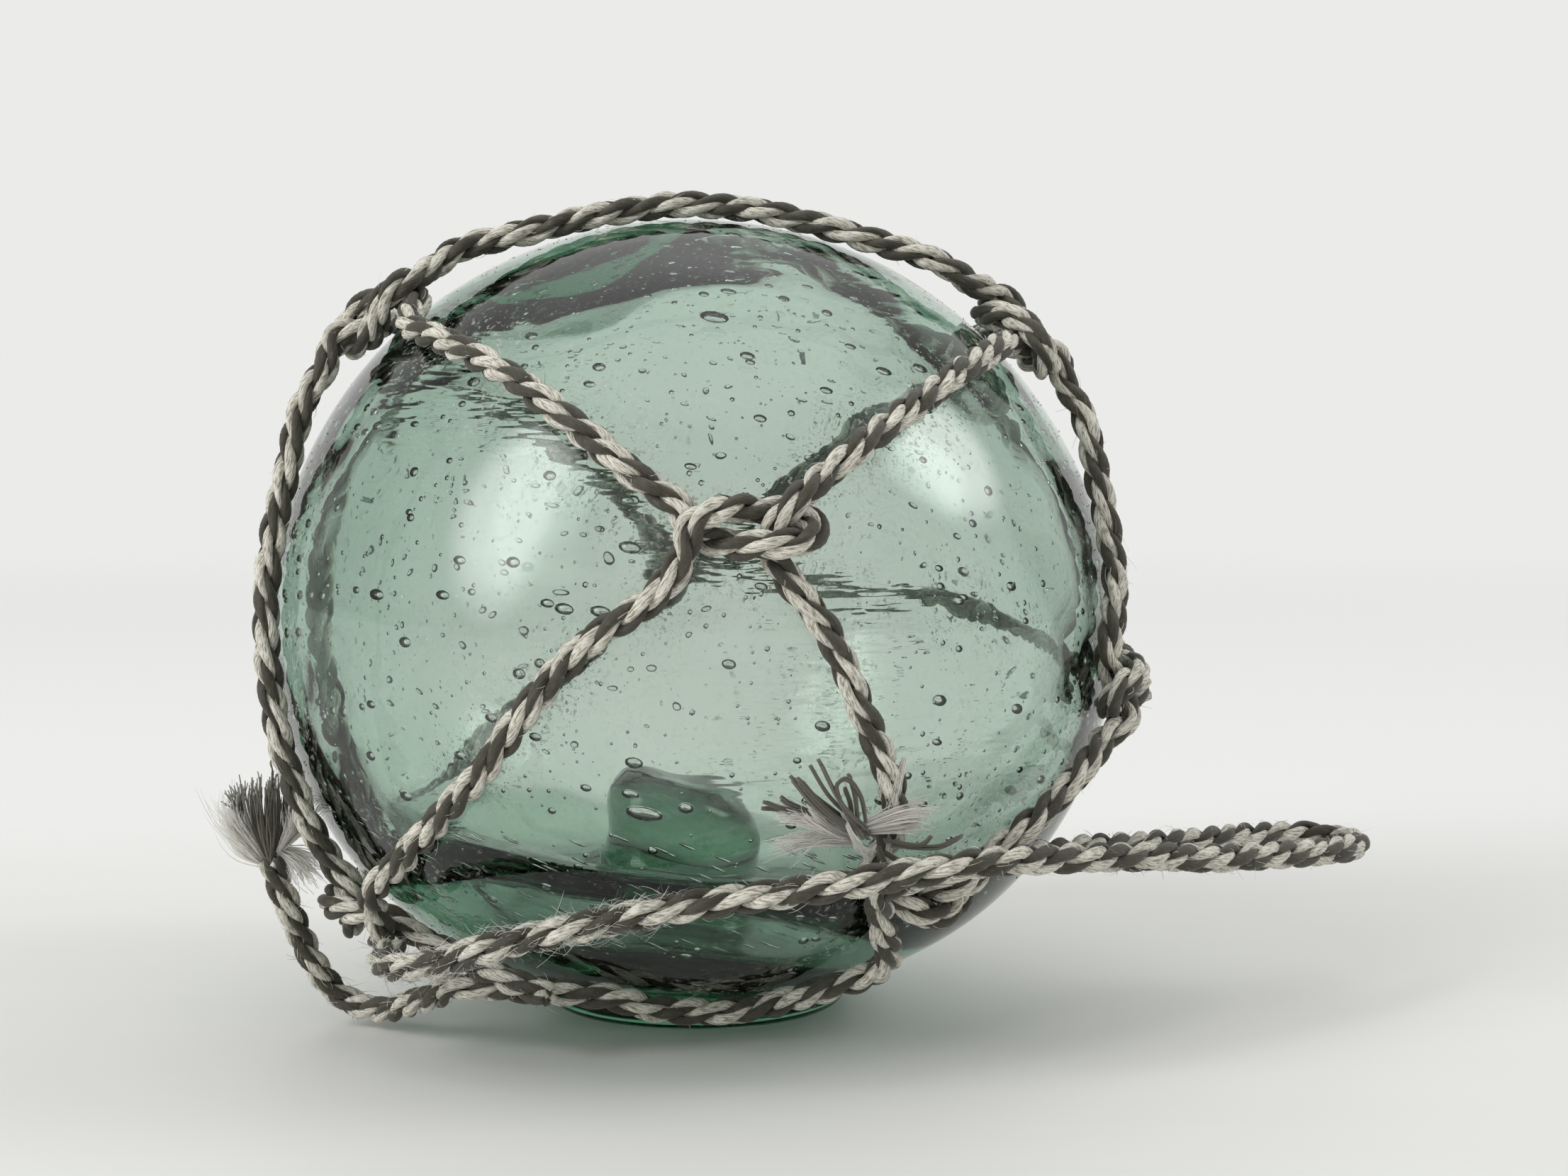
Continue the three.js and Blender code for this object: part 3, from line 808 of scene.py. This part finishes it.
# Bubbles in the wall, each a little air with its faces turned into it
bubbles = {
    "number": 2900, "smallest": 0.17, "largest": 0.64, "round": 0.36,
    "drawn": 130, "drawnOut": 6, "drawnRadius": 0.16,  # fine ones drawn out low in the glass
    # azimuth, elevation, stretch and radius of the largest ones
    "large": [(3.5, 46, 0.8, 0.9), (-14, 27, 0.9, 0.75), (-8, 12, 0.9, 0.65), (-6.7, -20.4, 1.5, 0.8)],
}
moulds = []
for finer in (1, 2):
    bpy.ops.mesh.primitive_ico_sphere_add(subdivisions=finer, radius=mm)
    moulds.append(bpy.context.object)
bubbleSpots = [
    (direction(azimuth, elevation), stretch, radius)
    for azimuth, elevation, stretch, radius in bubbles["large"]
]
for _ in range(bubbles["number"]):
    way = unit(chance.normal(size=3))
    if way[2] > -0.72:
        radius = bubbles["smallest"] + (bubbles["largest"] - bubbles["smallest"]) * chance.random() ** 3.6
        bubbleSpots.append((way, chance.uniform(0, 0.9) * (radius > bubbles["round"]), radius))
for _ in range(bubbles["drawn"]):
    way = direction(chance.uniform(-75, 45), chance.uniform(-44, -24))
    bubbleSpots.append((way, bubbles["drawnOut"], bubbles["drawnRadius"]))
bubbleObjects = []
for way, stretch, radius in bubbleSpots:
    depth = chance.uniform(radius + 0.3, max(radius + 0.4, sideWall(way) - radius - 0.7))
    mould = moulds[radius > bubbles["round"]]
    bubble = mould.copy()
    bubble.data = mould.data.copy()
    bpy.context.collection.objects.link(bubble)
    shape = meshPlaces(bubble.data) * radius
    flow = unit(np.cross(way, (0.45 if stretch == bubbles["drawnOut"] else 0.2, 0.1, 1)))
    shape = shape + np.outer(shape @ flow, flow) * stretch - np.outer(shape @ way, way) * 0.3
    moveTo(bubble.data, shape + overGlass(way, -depth))
    bubbleObjects.append(bubble)
for mould in moulds:
    bpy.data.objects.remove(mould)
bpy.ops.object.select_all(action="DESELECT")
for bubble in bubbleObjects:
    bubble.select_set(True)
bpy.context.view_layer.objects.active = bubbleObjects[0]
bpy.ops.object.join()
editWhole((bpy.ops.mesh.flip_normals, {}))
bubble = bpy.context.object
bpy.ops.object.select_all(action="DESELECT")
for piece in (bubble, cavity, ball):
    piece.select_set(True)
bpy.context.view_layer.objects.active = ball
bpy.ops.object.join()
bpy.ops.object.shade_smooth_by_angle(angle=math.radians(50))
print("bubbles made")


# How close each place is to a cord of the net: 1 beside it, 0 from 9 mm away
def closeness(places):
    spots = np.concatenate([line[::4] for line in netLines])
    nearest = np.concatenate([
        np.min(np.linalg.norm(chunk[:, None] - spots[None], axis=2), axis=1)
        for chunk in np.array_split(places, 1 + len(places) // 2000)
    ])
    return np.clip(1 - (nearest - 1.5) / 8, 0, 1)


# Dust and dirt gather beside the cords, and flecks of dirt lie on the glass
markAll(ball.data, "dusty", closeness(meshPlaces(ball.data)))
fleck = {"number": 9000, "lowest": -0.75, "inTheOpen": 0.05, "besideCords": 0.5, "sizes": (0.05, 0.13)}
flecks = Bundle()
fleckWays = unit(chance.normal(size=(fleck["number"], 3)))
fleckWays = fleckWays[fleckWays[:, 2] > fleck["lowest"]]
near = closeness(overGlass(fleckWays[:, None], 0.1)[:, 0])
for way, share in zip(fleckWays, near):
    if chance.random() < fleck["inTheOpen"] + fleck["besideCords"] * share ** 1.5:
        size = chance.uniform(*fleck["sizes"]) * (1 + chance.random() ** 6)
        base = overGlass(way, -0.03)
        heap = [base, base + way * 0.02, base + way * 0.07]
        flecks.tube(heap, [size, size, size * 0.6], 5, True, None, 0.6)
fleckObject = flecks.build("glass_dirt", fuzzFinish)
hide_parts("glass_float")

seaGreen = {  # heights and the ripples' depth are in metres, as the shader reads them
    "tint": (0.97, 0.956, 0.942, 1), "absorbed": (0.1, 0.47, 0.29, 1), "density": 84,
    "rippleDepth": 0.0004, "ripplesFrom": (0.03, 0.036),
    "hazeFrom": (0.03, 0.042), "hazeTo": (0.056, 0.072), "haze": 0.06, "dirtBare": 0.07,
    "dust": (0.68, 0.7, 0.65, 1), "soil": (0.13, 0.105, 0.06, 1), "soilPale": (0.4, 0.38, 0.3, 1),
}
glassMade = Finish(bpy.data.materials.new("sea green glass"))
spot = glassMade.place()
ripples = glassMade.noise(glassMade.place("Object", (1, 1, 6)), 110, 2, 0.5)
height = glassMade.node("ShaderNodeSeparateXYZ", {}, {0: spot}, out="Z")
rippled = glassMade.noise(spot, 26, 2).between(0.52, 0.7) * glassMade.attribute("inner")
rippled = rippled * height.between(*seaGreen["ripplesFrom"])
dusty = glassMade.attribute("dusty") ** 1.5
specks = glassMade.noise(spot, 1500, 2, 0.6).between(0.58, 0.64)
patches = glassMade.noise(spot, 120, 3, 0.6).between(0.42, 0.58)
middle = height.between(*seaGreen["hazeFrom"]) * (1 - height.between(*seaGreen["hazeTo"]))
haze = glassMade.noise(spot, 34, 4, 0.65).between(0.4, 0.72) * middle * seaGreen["haze"]
dirt = specks * patches * (dusty * 0.9 + seaGreen["dirtBare"])
clear = glassMade.node("ShaderNodeBsdfPrincipled", {}, {
    "Base Color": seaGreen["tint"], "Transmission Weight": 1.0, "IOR": 1.5,
    "Roughness": glassMade.noise(spot, 70, 3).between(0.5, 0.8) * 0.05 + 0.01,
    "Normal": glassMade.bump(ripples * rippled, seaGreen["rippleDepth"]),
})
soil = glassMade.blend(
    glassMade.noise(spot, 240).between(0.4, 0.6), seaGreen["soil"], seaGreen["soilPale"]
)
dust = glassMade.node("ShaderNodeBsdfPrincipled", {}, {
    "Base Color": glassMade.blend(dirt, seaGreen["dust"], soil), "Roughness": 0.9,
})
ball.data.materials.clear()
ball.data.materials.append(glassMade.output({
    "Surface": glassMade.node("ShaderNodeMixShader", {}, {0: dirt + haze, 1: clear, 2: dust}),
    "Volume": glassMade.node("ShaderNodeVolumeAbsorption", {}, {
        "Color": seaGreen["absorbed"], "Density": seaGreen["density"]}),
}))
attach(ball, "root")
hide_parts("glass_float")
for made in (netFuzz, frayFrontObject):
    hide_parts("cord_net")
print("glass finished")

bpy.ops.object.select_all(action="DESELECT")
bpy.ops.mesh.primitive_plane_add(size=6)
table = bpy.context.object
table.name = "table"
room = {"wall": (0.83, 0.835, 0.82, 1), "aroundCamera": (0.42, 0.42, 0.41, 1)}
tableTones = {
    "near": (0.75, 0.755, 0.735, 1), "nearPale": (0.79, 0.79, 0.77, 1), "behind": (0.82, 0.82, 0.81, 1),
    "fade": (0.35, 1.3),  # how far away the table fades into the wall
}
tableMade = Finish(bpy.data.materials.new("pale table"))
tablePlace = tableMade.node("ShaderNodeTexCoord", out="Object")
grain = tableMade.noise(tableMade.place("Object", (1, 8, 1)), 6, 3)
behind = tableMade.node("ShaderNodeSeparateXYZ", {}, {0: tablePlace}, out="Y").between(0.07, 0.16)
farAway = tableMade.node("ShaderNodeVectorMath", {"operation": "LENGTH"}, {0: tablePlace}, out="Value")
nearTone = tableMade.blend(grain, tableTones["near"], tableTones["nearPale"])
tableTop = tableMade.node("ShaderNodeBsdfPrincipled", {}, {
    "Base Color": tableMade.blend(behind, nearTone, tableTones["behind"]), "Roughness": 0.55,
})
table.data.materials.append(tableMade.output({"Surface": tableMade.node("ShaderNodeMixShader", {}, {
    0: farAway.between(*tableTones["fade"]), 1: tableTop,
    2: tableMade.node("ShaderNodeEmission", {}, {"Color": room["wall"]}),
})}))

lights = {  # place, width, height and power of each soft light, which fades towards its edges
    "window": ((-1.66, -1.1, 1.2), 1.5, 3.0, 38),
    "side": ((1.9, 0.1, 1.4), 1.4, 1.4, 15),
    "overhead": ((0, 0.3, 2.4), 4.4, 4.4, 23),
}
for name, (place, width, height, power) in lights.items():
    bpy.ops.object.light_add(type="AREA", location=place)
    lamp = bpy.context.object
    lamp.name = name
    lamp.rotation_euler = (Vector((0, 0, 0.05)) - Vector(place)).to_track_quat("-Z", "Y").to_euler()
    lamp.data.shape = "RECTANGLE"
    lamp.data.size, lamp.data.size_y = width, height
    lamp.data.energy = power
    soft = Finish(lamp.data)
    spread = soft.node("ShaderNodeVectorMath", {"operation": "DISTANCE"}, {
        0: soft.node("ShaderNodeNewGeometry", out="Parametric"), 1: (0.5, 0.5, 0)}, out="Value")
    glow = soft.node("ShaderNodeEmission", {}, {"Strength": (1 - spread.between(0.22, 0.5)) * 1.9})
    soft.output({"Surface": glow}, "Light")

# A bright wall behind the ball and a darker room round the camera
world = bpy.data.worlds.new("pale room")
bpy.context.scene.world = world
roomMade = Finish(world)
toWall = roomMade.node("ShaderNodeSeparateXYZ", {}, {
    0: roomMade.node("ShaderNodeTexCoord", out="Generated")}, out="Y").between(0.35, 0.85)
seen = roomMade.node("ShaderNodeLightPath", out="Is Camera Ray")
around = roomMade.blend(toWall, room["aroundCamera"], room["wall"])
roomMade.output({"Surface": roomMade.node(
    "ShaderNodeBackground", {}, {"Color": roomMade.blend(seen, around, room["wall"])})}, "World")
bpy.context.scene.view_settings.view_transform = "Standard"
print("table and lights set")
